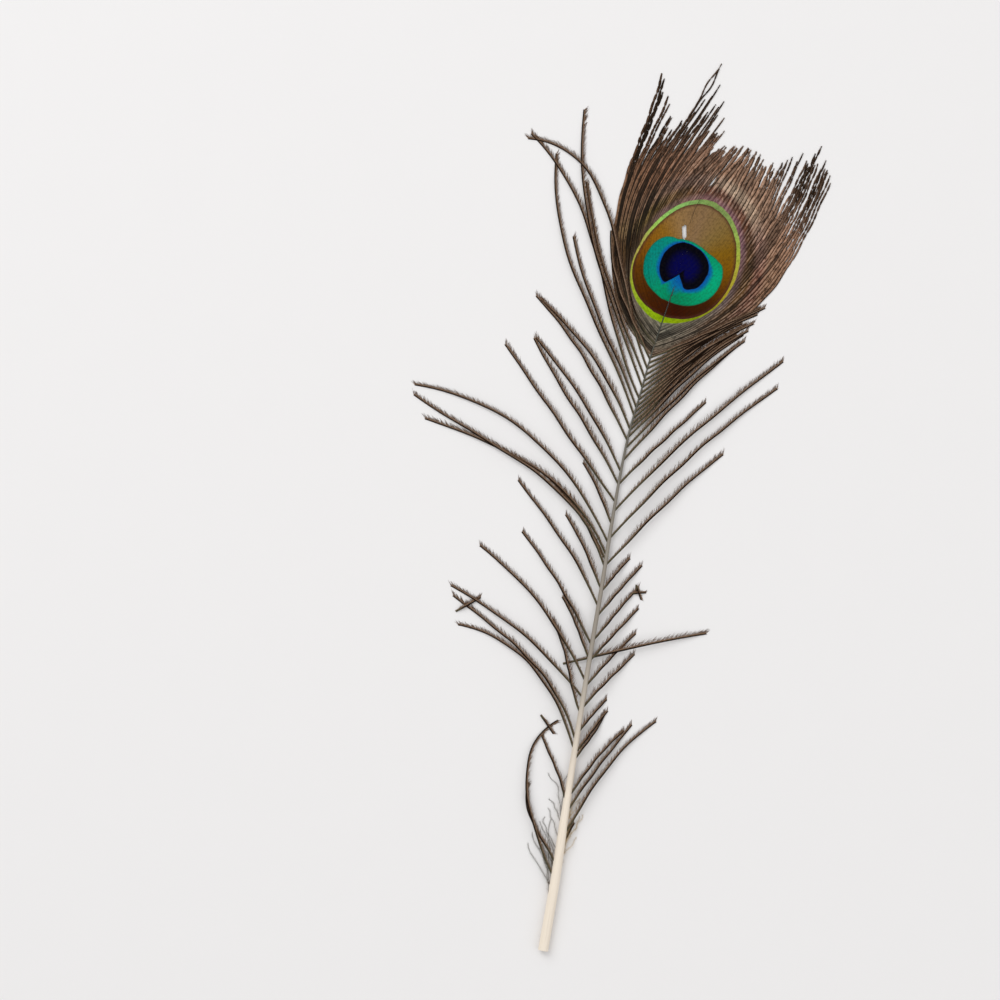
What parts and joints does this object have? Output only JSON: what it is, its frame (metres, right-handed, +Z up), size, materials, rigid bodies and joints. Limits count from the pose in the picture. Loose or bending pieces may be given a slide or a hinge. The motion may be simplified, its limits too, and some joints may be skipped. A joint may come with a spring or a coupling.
{
  "type": "peacock feather",
  "caption": "Cut peacock eye feather lying flat with its face up: pale quill, long shaft, loose barbs and a closed fan with a round eye.",
  "frame": {"origin": "centre of the outline on the surface that the feather lies on", "axes": "+Y along the shaft from the quill's cut end to the eye, +Z up from the surface out of the feather's face, +X to the right of the shaft seen from its face"},
  "size_m": [0.1142, 0.28, 0.0031],
  "materials": {
    "feather": "satin keratin, iridescent at the eye"
  },
  "bodies": {
    "root": {"feather": "feather"}
  },
  "joints": []
}
